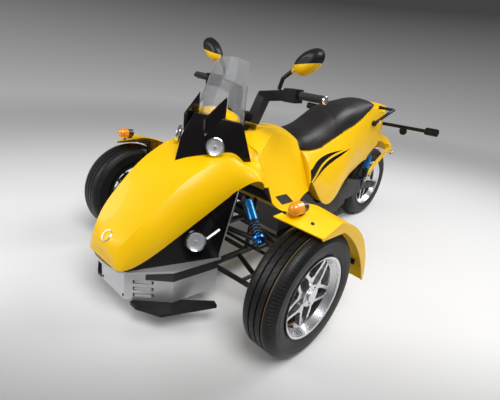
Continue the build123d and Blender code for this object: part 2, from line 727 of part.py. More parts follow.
HANDLE_FOOT = (-1345.0, 743.0)
HANDLE_END = (-1496.0, 836.0)
HANDLE_OUT = 182.0
foot_y = flank_y(tail_body, *HANDLE_FOOT, 18)
end_y = flank_y(tail_body, *HANDLE_END, 12)
handle = rod((HANDLE_FOOT[0], foot_y, HANDLE_FOOT[1]), (HANDLE_FOOT[0], foot_y + 20, HANDLE_FOOT[1]), 18)
handle += rod((HANDLE_END[0], end_y, HANDLE_END[1]), (HANDLE_END[0], end_y + 14, HANDLE_END[1]), 12)
handle += tube(
    [
        (HANDLE_FOOT[0], foot_y + 10, HANDLE_FOOT[1]),
        (-1428, HANDLE_OUT, 816),
        (HANDLE_END[0], HANDLE_OUT, HANDLE_END[1]),
        (HANDLE_END[0], end_y + 4, HANDLE_END[1]),
    ],
    10,
)
save("grab_handles", *pair(handle))
exhaust = rod((-1096, -214, 250), (-1500, -214, 326), 50)
exhaust += tube([(-1010 - SEAT_GAP, -90, 226), (-1056, -90, 226), (-1110, -200, 252)], 20)
save("exhaust", exhaust)

# Handlebar with its stem, grips, lever and mirrors

rake = radians(RAKE_DEG)
up = Vector(-sin(rake), 0, cos(rake))
foot = Vector(*STEER_FOOT)
head_low = foot - up * 30
steering_head = Plane(origin=head_low, z_dir=up) * Cylinder(44, 28, align=(Align.CENTER, Align.CENTER, Align.MIN))
steering_head -= Pos(0, 0, SEAT_GAP) * centre_body
steering_head -= Plane(origin=head_low, z_dir=up) * Cylinder(16.5, 80)
save("steering_head", steering_head)
stem_low = foot - up * 14
handlebar = rod(tuple(stem_low), tuple(foot + up * 40), 16)
handlebar += beam((-226, -70, 806), (-226, 70, 806), 54, 38)
for s in (1, -1):
    handlebar += beam((-226, s * 66, 796), (-252, s * 90, 904), 46, 46, 10)
    handlebar += beam((-253, s * 80, 908), (-250, s * 228, 934), 46, 46)
    handlebar += beam((-250, s * 226, 936), (-250, s * 290, 938), 56, 56)
    handlebar += rod((-250, s * 280, 943), (-264, s * 412, 943), 11)
save("handlebar", handlebar)


def grip():
    sleeve = rod((-252, 294, 943), (-264, 418, 943), 17)
    return sleeve - rod((-250, 280, 943), (-264, 412, 943), 11 + SEAT_GAP)


save("grips", *pair(grip()))
lever = tube([(-217.6, -262, 946), (-196, -280, 944), (-202, -350, 946)], 6) + Pos(-202, -350, 946) * Sphere(9)
save("brake_lever", lever)

MIRROR_AT = (-260.0, 300.0, 1078.0)
MIRROR_TILT = 31.0
mirror_frame = Pos(*MIRROR_AT) * Rot(MIRROR_TILT, 0, 0)
domes = [(-8, 80, 46), (12, 68, 38), (26, 30, 16)]
shell = loft([Plane(origin=(x, 0, 0), x_dir=(0, 1, 0), z_dir=(1, 0, 0)) * Ellipse(a, b) for x, a, b in domes])
mirror_shell = mirror_frame * shell
stem = tube([(-249, 177, 952.3), (-250, 190, 1000), (-258, 240, 1044)], 9)
save("mirror_shells", *pair(mirror_shell + stem))
glass_plane = Plane(origin=(-8 - SEAT_GAP, 0, 0), x_dir=(0, 1, 0), z_dir=(-1, 0, 0))
glass = extrude(glass_plane * Ellipse(72, 40), 2)
save("mirror_glasses", *pair(mirror_frame * glass))
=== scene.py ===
# %% [markdown]
# # Dressing a three-wheel roadster
# The vehicle is a road trike: two steered wheels in front, one driven wheel behind, a saddle and a
# handlebar. Its solid pieces come from a CAD model and are only read here. This lesson gives them
# their finishes and adds the pieces that are easier to model in Blender: tread, lamps, padding,
# nuts and trim.

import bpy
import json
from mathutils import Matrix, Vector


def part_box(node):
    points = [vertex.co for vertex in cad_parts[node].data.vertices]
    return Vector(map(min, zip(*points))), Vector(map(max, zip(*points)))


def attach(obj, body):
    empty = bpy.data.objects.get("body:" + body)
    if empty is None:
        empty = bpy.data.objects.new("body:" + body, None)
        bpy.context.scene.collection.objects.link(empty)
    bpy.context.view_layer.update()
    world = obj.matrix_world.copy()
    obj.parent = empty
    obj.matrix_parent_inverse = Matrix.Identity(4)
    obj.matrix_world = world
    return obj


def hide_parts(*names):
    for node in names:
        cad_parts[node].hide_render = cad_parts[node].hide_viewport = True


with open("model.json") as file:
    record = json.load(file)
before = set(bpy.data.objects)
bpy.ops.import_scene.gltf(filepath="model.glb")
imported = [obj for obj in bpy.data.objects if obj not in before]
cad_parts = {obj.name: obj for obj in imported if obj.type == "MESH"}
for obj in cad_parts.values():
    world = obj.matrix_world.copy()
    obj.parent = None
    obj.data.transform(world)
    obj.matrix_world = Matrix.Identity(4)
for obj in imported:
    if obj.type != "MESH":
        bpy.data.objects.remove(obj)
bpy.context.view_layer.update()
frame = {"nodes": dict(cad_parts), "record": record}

import json
from math import cos, radians, sin, tau

import bpy
from mathutils import Matrix, Vector

nodes = frame["nodes"]
joints = frame["record"]["behaviour"]["joints"]
joint_at = {joint["name"]: Vector(joint["pos_m"]) for joint in joints}
hub = {
    "front_left": joint_at["front_roll_left"],
    "front_right": joint_at["front_roll_right"],
    "rear": joint_at["rear_roll"],
}


# %% [markdown]
# ## A ruler
# Places are easiest to think of from the front axle: millimetres ahead of it, to its left, and
# above the ground. One small function turns such a place into metres in the frame, so every later
# cell can use the same ruler.

# %% The ruler
MM = 1000  # millimetres in a metre
AXLE_MM = hub["front_left"].x * MM


def spot(x, y, z):
    return Vector(((x + AXLE_MM) / MM, y / MM, z / MM))


print("front axle", round(AXLE_MM, 1), "mm ahead of the middle")

# %% [markdown]
# ## Camera
# The camera stands close to the left front corner and is tilted a little, which gives the nose its
# bold look. Its three axes are worked out from yaw, pitch and roll, so each angle can be tuned alone.

# %% Camera
CAMERA_PLACE = spot(1089.4, 1272.0, 1088.6)
CAMERA_YAW, CAMERA_PITCH, CAMERA_ROLL = radians(41.47), radians(21.263), radians(7.188)
SENSOR_MM, LENS_MM, SIGHT_M = 36, 27.16, 100
flat = cos(CAMERA_PITCH)
ahead = Vector((-cos(CAMERA_YAW) * flat, -sin(CAMERA_YAW) * flat, -sin(CAMERA_PITCH)))
level = ahead.cross(Vector((0, 0, 1))).normalized()
upward = level.cross(ahead)
right = cos(CAMERA_ROLL) * level + sin(CAMERA_ROLL) * upward
top = -sin(CAMERA_ROLL) * level + cos(CAMERA_ROLL) * upward
turn = Matrix((right, top, -ahead)).transposed()
bpy.ops.object.camera_add(location=CAMERA_PLACE, rotation=turn.to_euler())
camera = bpy.context.object
camera.data.sensor_width = SENSOR_MM
camera.data.lens = LENS_MM
camera.data.clip_end = SIGHT_M
bpy.context.scene.camera = camera
print("camera", [round(v, 3) for v in camera.location], "lens", round(camera.data.lens, 2))

# %% [markdown]
# ## Node helpers
# The floor, the backdrop and every finish do sums with nodes. Three helpers keep that readable: one
# feeds a socket with a number, a colour or a link, one adds a Math node, and one adds a Map Range.


# %% Sums with nodes
def feed(tree, socket, value):
    if isinstance(value, tuple):
        socket.default_value = (*value, 1)
    elif isinstance(value, (int, float)):
        socket.default_value = value
    else:
        tree.links.new(value, socket)


def maths(tree, operation, *values):
    node = tree.nodes.new("ShaderNodeMath")
    node.operation = operation
    for socket, value in zip(node.inputs, values):
        feed(tree, socket, value)
    return node.outputs[0]


def ramp(tree, value, low, high, out_low=0.0, out_high=1.0, curve="SMOOTHSTEP"):
    node = tree.nodes.new("ShaderNodeMapRange")
    node.interpolation_type = curve
    tree.links.new(value, node.inputs["Value"])
    limits = {"From Min": low, "From Max": high, "To Min": out_low, "To Max": out_high}
    for socket, number in limits.items():
        node.inputs[socket].default_value = number
    return node.outputs["Result"]


print("node helpers ready")

# %% [markdown]
# ## Studio floor
# The vehicle stands on a pale sheet that seems to have no end. The floor's colour is painted darker
# towards the lens and away from the vehicle, a painted shade round a painted pool of light, and it
# fades out far behind, where the backdrop takes over. It is stage, not part of the vehicle.

# %% Floor
FLOOR_SIZE = 60
TOWARDS_LENS = (0.75, 0.66, 0)
# Ramps over the floor: metres from, metres to, value there and there
# Painted shade: the front ramp darkens the floor's colour towards the lens, the reach ramp darkens it
# away from the vehicle
FRONT_PAINTED_SHADE = (0.7, 1.6, 1.0, 0.34)
REACH_PAINTED_SHADE = (1.2, 7.0, 0.80, 0.36)
FADE_OUT = (1.8, 6.5, 1.0, 0.0)


def rest_all():
    if bpy.context.object and bpy.context.object.mode != "OBJECT":
        bpy.ops.object.mode_set(mode="OBJECT")
    bpy.ops.object.select_all(action="DESELECT")


rest_all()
bpy.ops.mesh.primitive_plane_add(size=FLOOR_SIZE, location=(0, 0, 0))
floor = bpy.context.object
floor.name = "studio_floor"
floor_paint = bpy.data.materials.new("studio_floor")
floor_paint.use_nodes = True
floor_tree = floor_paint.node_tree
floor_place = floor_tree.nodes.new("ShaderNodeTexCoord").outputs["Object"]


def floor_measure(operation, against=None):
    node = floor_tree.nodes.new("ShaderNodeVectorMath")
    node.operation = operation
    floor_tree.links.new(floor_place, node.inputs[0])
    if against:
        node.inputs[1].default_value = against
    return node.outputs["Value"]


reach = floor_measure("LENGTH")
# Painted light and shade: the floor's colour is multiplied darker towards the lens and with distance
front_painted_shade = ramp(floor_tree, floor_measure("DOT_PRODUCT", TOWARDS_LENS), *FRONT_PAINTED_SHADE)
floor_painted_shade = maths(floor_tree, "MULTIPLY", ramp(floor_tree, reach, *REACH_PAINTED_SHADE), front_painted_shade)
floor_shader = floor_tree.nodes["Principled BSDF"]
floor_tree.links.new(floor_painted_shade, floor_shader.inputs["Base Color"])
floor_tree.links.new(ramp(floor_tree, reach, *FADE_OUT), floor_shader.inputs["Alpha"])
floor_shader.inputs["Roughness"].default_value = 0.8
floor_shader.inputs["Specular IOR Level"].default_value = 0.1
floor.data.materials.append(floor_paint)
print("floor", FLOOR_SIZE, "m wide")

# %% [markdown]
# ## Studio light
# Large soft boxes give gloss its long smooth highlights, so three big area lamps light the vehicle.
# The room adds a weak even light, and a dark grey backdrop shows to the camera only; its grey is
# painted paler low down and darker above, a painted fall-off of light.

# %% Lamps
LAMPS_AIM = Vector((0, 0, 0.5))
# Soft boxes: name, place, size, power
SOFT_BOXES = [
    ("key_box", (1.8, 2.2, 3.8), 2.2, 150),
    ("fill_box", (3.4, -1.8, 2.2), 2.0, 65),
    ("back_box", (-2.6, 1.4, 3.6), 2.4, 110),
]
for name, place, size, power in SOFT_BOXES:
    aim = (LAMPS_AIM - Vector(place)).to_track_quat("-Z", "Y").to_euler()
    bpy.ops.object.light_add(type="AREA", location=place, rotation=aim)
    lamp = bpy.context.object
    lamp.name = name
    lamp.data.shape = "SQUARE"
    lamp.data.size = size
    lamp.data.energy = power
print("studio with", len(SOFT_BOXES), "soft boxes")

# %% Room and backdrop
ROOM_TINT, ROOM_STRENGTH = (0.74, 0.75, 0.77, 1), 0.2
# Backdrop: slope of the view from, slope to, grey there and there
# Painted light: the backdrop's grey is painted paler low down and darker above
BACKDROP_PAINTED_FALLOFF = (-0.32, 0.13, 0.62, 0.055)
world = bpy.data.worlds.new("studio")
bpy.context.scene.world = world
world.use_nodes = True
sky = world.node_tree
room = sky.nodes["Background"]
room.inputs["Color"].default_value = ROOM_TINT
room.inputs["Strength"].default_value = ROOM_STRENGTH
backdrop = sky.nodes.new("ShaderNodeBackground")
view = sky.nodes.new("ShaderNodeSeparateXYZ")
sky.links.new(sky.nodes.new("ShaderNodeTexCoord").outputs["Generated"], view.inputs["Vector"])
grey = ramp(sky, view.outputs["Z"], *BACKDROP_PAINTED_FALLOFF, curve="LINEAR")
sky.links.new(grey, backdrop.inputs["Color"])
shown = sky.nodes.new("ShaderNodeMixShader")
sky.links.new(sky.nodes.new("ShaderNodeLightPath").outputs["Is Camera Ray"], shown.inputs["Fac"])
sky.links.new(room.outputs["Background"], shown.inputs[1])
sky.links.new(backdrop.outputs["Background"], shown.inputs[2])
sky.links.new(shown.outputs["Shader"], sky.nodes["World Output"].inputs["Surface"])
bpy.context.scene.view_settings.view_transform = "Standard"
print("room light", ROOM_STRENGTH)

# %% [markdown]
# ## Shared effects
# Real finishes are never one flat value. Three effects come back in nearly every finish: a fine
# grain, paler worn edges and a film of road dust low down. Each is built once as a node group with
# named sockets, and every finish sets its own amounts. The groups only give masks and heights; the
# shader itself stays in the material.


# %% Helpers for node groups
def new_group(name, inputs, outputs):
    tree = bpy.data.node_groups.new(name, "ShaderNodeTree")
    number = "NodeSocketFloat"
    for socket, value in inputs:
        made = tree.interface.new_socket(socket, in_out="INPUT", socket_type=number)
        made.default_value = value
    for socket in outputs:
        tree.interface.new_socket(socket, in_out="OUTPUT", socket_type=number)
    return tree, tree.nodes.new("NodeGroupInput"), tree.nodes.new("NodeGroupOutput")


def object_place(tree):
    return tree.nodes.new("ShaderNodeTexCoord").outputs["Object"]


def cells(tree, place, scale):
    node = tree.nodes.new("ShaderNodeTexVoronoi")
    node.feature = "SMOOTH_F1"
    tree.links.new(place, node.inputs["Vector"])
    feed(tree, node.inputs["Scale"], scale)
    return node.outputs["Distance"]


def noise(tree, place, scale, detail=4.0):
    node = tree.nodes.new("ShaderNodeTexNoise")
    tree.links.new(place, node.inputs["Vector"])
    node.inputs["Detail"].default_value = detail
    feed(tree, node.inputs["Scale"], scale)
    return node.outputs["Fac"]


print("group helpers ready")

# %% Fine grain
TONE_SCALE, TONE_DETAIL = 6.0, 3.0
grain_inputs = [("Scale", 400.0), ("Cells", 0.5)]
grain, grain_in, grain_out = new_group("fine_grain", grain_inputs, ["Height", "Tone"])
grain_place = object_place(grain)
share = grain_in.outputs["Cells"]
pebble = maths(grain, "MULTIPLY", cells(grain, grain_place, grain_in.outputs["Scale"]), share)
rest = maths(grain, "SUBTRACT", 1.0, share)
speck = maths(grain, "MULTIPLY", noise(grain, grain_place, grain_in.outputs["Scale"]), rest)
grain.links.new(maths(grain, "ADD", pebble, speck), grain_out.inputs["Height"])
grain.links.new(noise(grain, grain_place, TONE_SCALE, TONE_DETAIL), grain_out.inputs["Tone"])
print("group", grain.name)

# %% Worn edges
EDGE_WIDTH = 0.002
RUB_SCALE = 60.0
edges, edges_in, edges_out = new_group("worn_edges", [("Width", EDGE_WIDTH)], ["Edge"])
round_off = edges.nodes.new("ShaderNodeBevel")
round_off.samples = 4
edges.links.new(edges_in.outputs["Width"], round_off.inputs["Radius"])
facing = edges.nodes.new("ShaderNodeVectorMath")
facing.operation = "DOT_PRODUCT"
edges.links.new(round_off.outputs["Normal"], facing.inputs[0])
edges.links.new(edges.nodes.new("ShaderNodeNewGeometry").outputs["Normal"], facing.inputs[1])
bare = ramp(edges, facing.outputs["Value"], 0.99, 0.8)
rub = ramp(edges, noise(edges, object_place(edges), RUB_SCALE), 0.35, 0.65)
edges.links.new(maths(edges, "MULTIPLY", bare, rub), edges_out.inputs["Edge"])
print("group", edges.name)

# %% Road dust
DUST_REACH = 0.45
PATCH_SCALE, PATCH_DETAIL = 9.0, 6.0
dust, dust_in, dust_out = new_group("road_dust", [("Reach", DUST_REACH)], ["Dust"])
dust_place = object_place(dust)
dust_axes = dust.nodes.new("ShaderNodeSeparateXYZ")
dust.links.new(dust_place, dust_axes.inputs["Vector"])
height = maths(dust, "DIVIDE", dust_axes.outputs["Z"], dust_in.outputs["Reach"])
low_down = maths(dust, "MAXIMUM", maths(dust, "SUBTRACT", 1.0, height), 0.0)
patches = ramp(dust, noise(dust, dust_place, PATCH_SCALE, PATCH_DETAIL), 0.35, 0.7)
dust.links.new(maths(dust, "MULTIPLY", low_down, patches), dust_out.inputs["Dust"])
print("group", dust.name)

# %% [markdown]
# ## Finishes
# Every finish is one Principled shader. Its colour wanders a little with the grain group's tone, its
# edges may wear paler, its lower parts may carry dust, and the grain's height gives the bump. Values
# that are the same all over, such as the clear coat's weight, are set on the shader's own sockets.

# %% How a finish is mixed
DUST_TINT = (0.30, 0.28, 0.25)
COAT_ROUGHNESS = 0.04
RELIEF_M = 0.001


def use_group(tree, group, **values):
    node = tree.nodes.new("ShaderNodeGroup")
    node.node_tree = group
    for socket, value in values.items():
        node.inputs[socket].default_value = value
    return node


def tinted(tree, factor, first, second):
    node = tree.nodes.new("ShaderNodeMix")
    node.data_type = "RGBA"
    tree.links.new(factor, node.inputs["Factor"])
    feed(tree, node.inputs["A"], first)
    feed(tree, node.inputs["B"], second)
    return node.outputs["Result"]


def set_shader(paint, values):
    for socket, value in values.items():
        paint.node_tree.nodes["Principled BSDF"].inputs[socket].default_value = value


def finish(name, colour, roughness, metallic=0.0, coat=0.0, scale=400.0, pebbles=0.0, bump=0.05,
           tint=0.06, wear=0.0, worn=(0.5, 0.5, 0.5), dusty=0.0, specular=0.5):
    paint = bpy.data.materials.new(name)
    paint.use_nodes = True
    set_shader(paint, {"Metallic": metallic, "Coat Weight": coat, "Specular IOR Level": specular,
                       "Coat Roughness": COAT_ROUGHNESS})
    tree = paint.node_tree
    shader = tree.nodes["Principled BSDF"]
    texture = use_group(tree, grain, Scale=scale, Cells=pebbles)
    tone = texture.outputs["Tone"]
    darker = tuple(c * (1 - tint) for c in colour)
    lighter = tuple(min(c * (1 + tint), 1) for c in colour)
    shade = tinted(tree, tone, darker, lighter)
    if wear:
        edge = use_group(tree, edges, Width=EDGE_WIDTH).outputs["Edge"]
        shade = tinted(tree, maths(tree, "MULTIPLY", edge, wear), shade, worn)
    if dusty:
        film = use_group(tree, dust, Reach=DUST_REACH).outputs["Dust"]
        shade = tinted(tree, maths(tree, "MULTIPLY", film, dusty), shade, DUST_TINT)
    tree.links.new(shade, shader.inputs["Base Color"])
    rough = ramp(tree, tone, 0.3, 0.7, roughness * 0.85, min(roughness * 1.15, 1))
    tree.links.new(rough, shader.inputs["Roughness"])
    relief = tree.nodes.new("ShaderNodeBump")
    relief.inputs["Strength"].default_value = bump
    relief.inputs["Distance"].default_value = RELIEF_M
    tree.links.new(texture.outputs["Height"], relief.inputs["Height"])
    tree.links.new(relief.outputs["Normal"], shader.inputs["Normal"])
    return paint


print("finish mixer ready")

# %% [markdown]
# ## Painting a second colour
# Some pieces carry two colours. A mask read from object coordinates lays the second colour over the
# first, so the border stays on the piece as it turns.


# %% Masks
def object_axes(tree, centre=(0, 0, 0)):
    shift = tree.nodes.new("ShaderNodeMapping")
    shift.inputs["Location"].default_value = tuple(-c for c in centre)
    tree.links.new(object_place(tree), shift.inputs["Vector"])
    split = tree.nodes.new("ShaderNodeSeparateXYZ")
    tree.links.new(shift.outputs["Vector"], split.inputs["Vector"])
    return split.outputs


def paint_over(paint, mask, colour, roughness=None, metallic=None):
    tree = paint.node_tree
    shader = tree.nodes["Principled BSDF"]
    under = shader.inputs["Base Color"].links[0].from_socket
    tree.links.new(tinted(tree, mask, under, colour), shader.inputs["Base Color"])
    for socket, value in (("Roughness", roughness), ("Metallic", metallic)):
        if value is None:
            continue
        links = shader.inputs[socket].links
        before = links[0].from_socket if links else shader.inputs[socket].default_value
        node = tree.nodes.new("ShaderNodeMix")
        tree.links.new(mask, node.inputs["Factor"])
        feed(tree, node.inputs["A"], before)
        node.inputs["B"].default_value = value
        tree.links.new(node.outputs["Result"], shader.inputs[socket])


print("masks ready")

# %% [markdown]
# ## The paint shop
# The body is a bright warm yellow under a thin clear lacquer, so the base is mid-rough and a smooth
# coat adds a little shine. Moulded black plastic is the opposite: no coat and a pebbled skin. The
# polished wheels are bare metal. Values that several finishes share are kept in one table each.

# %% Paint and plastic
YELLOW = (0.93, 0.55, 0.001)
LACQUER = dict(colour=YELLOW, roughness=0.34, coat=0.14, scale=900, bump=0.012, tint=0.025, wear=0.1,
               worn=(0.95, 0.70, 0.15), dusty=0.06, specular=0.2)
SILVER = dict(colour=(0.60, 0.60, 0.62), roughness=0.34, metallic=0.75, coat=0.4, scale=1500,
              bump=0.02, tint=0.05, wear=0.25, worn=(0.85, 0.85, 0.86), dusty=0.15)
yellow = finish("yellow_paint", **LACQUER)
silver = finish("silver_paint", **SILVER)
gloss_black = finish("gloss_black", (0.005, 0.004, 0.004), 0.22, coat=0.25, scale=700, bump=0.01,
                     tint=0.2, wear=0.1, worn=(0.04, 0.04, 0.04), specular=0.2)
black_plastic = finish("black_plastic", (0.007, 0.006, 0.007), 0.45, scale=900, pebbles=0.8,
                       bump=0.12, tint=0.15, wear=0.2, worn=(0.04, 0.04, 0.04), dusty=0.04,
                       specular=0.22)
grey_plastic = finish("grey_plastic", (0.026, 0.024, 0.025), 0.55, scale=900, pebbles=0.8, bump=0.14,
                      tint=0.12, wear=0.25, worn=(0.08, 0.08, 0.08), dusty=0.12, specular=0.25)
frame_black = finish("frame_black", (0.009, 0.009, 0.010), 0.4, coat=0.1, scale=700, bump=0.04,
                     tint=0.2, wear=0.3, worn=(0.06, 0.06, 0.06), dusty=0.1, specular=0.25)
grip_rubber = finish("grip_rubber", (0.018, 0.018, 0.018), 0.75, scale=1600, pebbles=0.6, bump=0.2,
                     tint=0.15)
print(len(bpy.data.materials), "finishes so far")

# %% Metal and red lens
POLISHED = dict(colour=(0.74, 0.74, 0.76), roughness=0.27, metallic=1.0, scale=1100, bump=0.02,
                tint=0.05, wear=0.3, worn=(0.95, 0.95, 0.96), dusty=0.06)
LENS_PLASTIC = dict(coat=1.0, scale=250, pebbles=1.0, bump=0.25, tint=0.12)
alloy = finish("alloy", **POLISHED)
chrome = finish("bright_chrome", (0.82, 0.82, 0.84), 0.07, metallic=1.0, scale=900, bump=0.008,
                tint=0.03)
mirror = finish("mirror_silver", (0.86, 0.88, 0.90), 0.02, metallic=1.0, scale=300, bump=0.002,
                tint=0.01)
blue = finish("blue_shock", (0.012, 0.20, 0.62), 0.24, metallic=0.85, coat=0.5, scale=900, bump=0.02,
              tint=0.1, wear=0.3, worn=(0.35, 0.55, 0.8))
engine_metal = finish("engine_metal", (0.22, 0.22, 0.23), 0.55, metallic=0.8, scale=500, bump=0.15,
                      tint=0.12, dusty=0.4)
steel = finish("exhaust_steel", (0.48, 0.47, 0.46), 0.3, metallic=1.0, scale=800, bump=0.05,
               tint=0.1, wear=0.3, worn=(0.7, 0.68, 0.65), dusty=0.2)
red = finish("red_lens", (0.42, 0.008, 0.008), 0.15, **LENS_PLASTIC)
print(len(bpy.data.materials), "finishes so far")

# %% [markdown]
# ## Clear screen
# The screen is a real four-millimetre sheet in the CAD model, so light can simply be sent through
# it. The small share that isn't let through stays a pale skin, which gives moulded plastic its haze.

# %% Windscreen
clear = finish("clear_screen", (0.96, 0.97, 0.98), 0.02, scale=40, bump=0.003, tint=0.01)
set_shader(clear, {"Transmission Weight": 0.91, "IOR": 1.15})
print("screen finish", clear.name)

# %% [markdown]
# ## Bumper, mirror shells and centre body
# The bumper has a dark band at each corner, the mirror shells are yellow below a slanting border,
# and the centre body is painted near-black inside its front arch, a painted shade. Each border is a
# plane or two, so comparing one or two coordinates makes the mask.

# %% Two-tone mouldings and painted shade in the arch
DARK_MOULDING, ARCH_PAINTED_SHADE = (0.012, 0.012, 0.013), (0.010, 0.010, 0.011)
BAND_FROM_Y, BAND_FROM_Z = 0.152, 0.199
SHELL_FROM_Y, BORDER_Z, BORDER_SLOPE = 0.232, 1.025, 0.15
ARCH_FROM_X, ARCH_TO_Z = spot(-168, 0, 0).x, 0.535

bumper_paint = finish("bumper_silver", **SILVER)
tree = bumper_paint.node_tree
axes = object_axes(tree)
beside = maths(tree, "GREATER_THAN", maths(tree, "ABSOLUTE", axes["Y"]), BAND_FROM_Y)
above = maths(tree, "GREATER_THAN", axes["Z"], BAND_FROM_Z)
paint_over(bumper_paint, maths(tree, "MULTIPLY", above, beside), DARK_MOULDING, 0.3, 0.0)

shell_paint = finish("mirror_shell", (0.008, 0.008, 0.009), 0.42, coat=0.08, scale=700, bump=0.01,
                     tint=0.15, specular=0.3)
tree = shell_paint.node_tree
axes = object_axes(tree)
side = maths(tree, "ABSOLUTE", axes["Y"])
border = maths(tree, "ADD", BORDER_Z, maths(tree, "MULTIPLY", side, BORDER_SLOPE))
below = maths(tree, "GREATER_THAN", border, axes["Z"])
off_stem = maths(tree, "GREATER_THAN", side, SHELL_FROM_Y)
paint_over(shell_paint, maths(tree, "MULTIPLY", below, off_stem), YELLOW, 0.42)

centre_paint = finish("centre_yellow", **LACQUER)
tree = centre_paint.node_tree
axes = object_axes(tree)
in_front = maths(tree, "GREATER_THAN", axes["X"], ARCH_FROM_X)
under = maths(tree, "LESS_THAN", axes["Z"], ARCH_TO_Z)
# Painted shade: the centre body is painted near-black inside its front arch
paint_over(centre_paint, maths(tree, "MULTIPLY", in_front, under), ARCH_PAINTED_SHADE, 0.45)
print("two-tone mouldings ready")

# %% [markdown]
# ## Rims and indicators
# A rim is polished where it shows and painted dark deep inside, a painted shade, so its mask counts
# the depth from the hub outwards. An indicator is an amber lens on a housing, black in front and
# bright behind.

# %% Rims with painted shade deep inside
# Painted shade: colour and fade of the dark inner barrel of each rim
RIM_PAINTED_SHADE, RIM_SHADE_FADE = (0.030, 0.028, 0.027), 0.012
# Rims: name, hub, outward side, depth at which the polish ends
RIMS = [
    ("rim_left", "front_left", 1, 0.012),
    ("rim_right", "front_right", -1, 0.012),
    ("rim_rear", "rear", 1, 0.018),
]
rim_paints = []
for name, where, out, depth in RIMS:
    rim_paint = finish(name, **POLISHED)
    tree = rim_paint.node_tree
    outwards = maths(tree, "MULTIPLY", object_axes(tree, hub[where])["Y"], out)
    # Painted shade: the rim is painted dark deeper than the polish depth
    paint_over(rim_paint, ramp(tree, outwards, depth, depth - RIM_SHADE_FADE), RIM_PAINTED_SHADE, 0.55, 0.6)
    rim_paints.append(rim_paint)
print(len(rim_paints), "rim finishes")

# %% Two-tone indicators
AMBER, AMBER_ROUGHNESS = (0.90, 0.30, 0.008), 0.18
BRIGHT_HOUSING = (0.55, 0.55, 0.57)
FRONT_LENS_X, REAR_LENS_X = spot(52, 0, 0).x, spot(-1932, 0, 0).x
lens_paint = finish("front_lens", AMBER, AMBER_ROUGHNESS, **LENS_PLASTIC)
tree = lens_paint.node_tree
housing = maths(tree, "LESS_THAN", object_axes(tree)["X"], FRONT_LENS_X)
paint_over(lens_paint, housing, DARK_MOULDING, 0.35)
rear_lens_paint = finish("rear_lens", AMBER, AMBER_ROUGHNESS, **LENS_PLASTIC)
tree = rear_lens_paint.node_tree
housing = maths(tree, "GREATER_THAN", object_axes(tree)["X"], REAR_LENS_X)
paint_over(rear_lens_paint, housing, BRIGHT_HOUSING, 0.15, 1.0)
print("indicator finishes ready")

# %% [markdown]
# ## Handing out the finishes
# Most CAD pieces keep their shape and only change their skin. One table says which finish each takes.

# %% Finishes for the CAD pieces
FINISH_OF = {
    yellow: "hood tail_body rear_fender front_fender_left front_fender_right",
    gloss_black: "lamp_panel cowl side_vents",
    black_plastic: "skid_lip footboards rear_lamp_bar steering_head handlebar",
    grey_plastic: "lower_fairing side_ducts",
    silver: "chin_ledge",
    bumper_paint: "bumper",
    centre_paint: "centre_body",
    rim_paints[0]: "front_rim_left",
    rim_paints[1]: "front_rim_right",
    rim_paints[2]: "rear_rim",
    frame_black: "frame_rails frame_crossbars front_frame swingarm_mount suspension_arms springs"
    " swingarm grab_handles brake_lever caliper_left caliper_right knuckle_left knuckle_right"
    " tie_rod_left tie_rod_right pitman",
    blue: "shock_bodies",
    engine_metal: "engine_block",
    steel: "exhaust",
    clear: "windscreen",
    chrome: "headlamps",
    mirror: "mirror_glasses",
    shell_paint: "mirror_shells",
    lens_paint: "front_indicator_left front_indicator_right",
    rear_lens_paint: "rear_indicators",
    red: "tail_lamp",
}
for paint, names in FINISH_OF.items():
    for name in names.split():
        nodes[name].data.materials.clear()
        nodes[name].data.materials.append(paint)
print("painted", sum(len(names.split()) for names in FINISH_OF.values()), "CAD pieces")

# %% [markdown]
# ## A lathe made of extrusions
# Tyres, lamps, grips and bosses are all turned shapes. By hand one adds a circle, extrudes its edge
# and scales the new ring, again and again along the profile. This helper does just that, so a piece
# is only a short list of rings, each a radius and a height in millimetres.

# %% Lathe
MERGE_TURNED = 0.00001


def rest_and_choose(piece):
    rest_all()
    piece.select_set(True)
    bpy.context.view_layer.objects.active = piece


def open_mesh():
    bpy.ops.object.mode_set(mode="EDIT")
    bpy.ops.mesh.select_all(action="SELECT")


def close_mesh_outwards():
    bpy.ops.mesh.select_all(action="SELECT")
    bpy.ops.mesh.normals_make_consistent(inside=False)
    bpy.ops.object.mode_set(mode="OBJECT")


def lathe(name, rings, steps=48, solid=True):
    rest_all()
    first_r, first_h = rings[0]
    start = "NGON" if solid else "NOTHING"
    bpy.ops.mesh.primitive_circle_add(vertices=steps, radius=first_r / MM, fill_type=start,
                                      location=(0, 0, 0))
    piece = bpy.context.object
    piece.name = name
    open_mesh()
    bpy.ops.transform.translate(value=(0, 0, first_h / MM))
    for (r_from, h_from), (r_to, h_to) in zip(rings, rings[1:]):
        rise = {"value": (0, 0, (h_to - h_from) / MM)}
        bpy.ops.mesh.extrude_edges_move(TRANSFORM_OT_translate=rise)
        share = r_to / r_from
        bpy.ops.transform.resize(value=(share, share, 1), center_override=(0, 0, h_to / MM))
    if solid:
        bpy.ops.mesh.edge_face_add()
    bpy.ops.mesh.select_all(action="SELECT")
    bpy.ops.mesh.remove_doubles(threshold=MERGE_TURNED)
    close_mesh_outwards()
    return piece


print("lathe ready")

# %% [markdown]
# ## Placing and delivering
# A piece is made upright at the origin, then stood on its place with its axis turned the right way,
# and the move is applied to the mesh. The right side is a mirrored copy. Delivering gives a piece its
# finish, its shading and the body it rides on.


# %% Placing helpers
def stand(piece, place, axis):
    rest_and_choose(piece)
    piece.rotation_euler = Vector(axis).to_track_quat("Z", "Y").to_euler()
    piece.location = place
    bpy.ops.object.transform_apply(location=True, rotation=True, scale=True)
    return piece


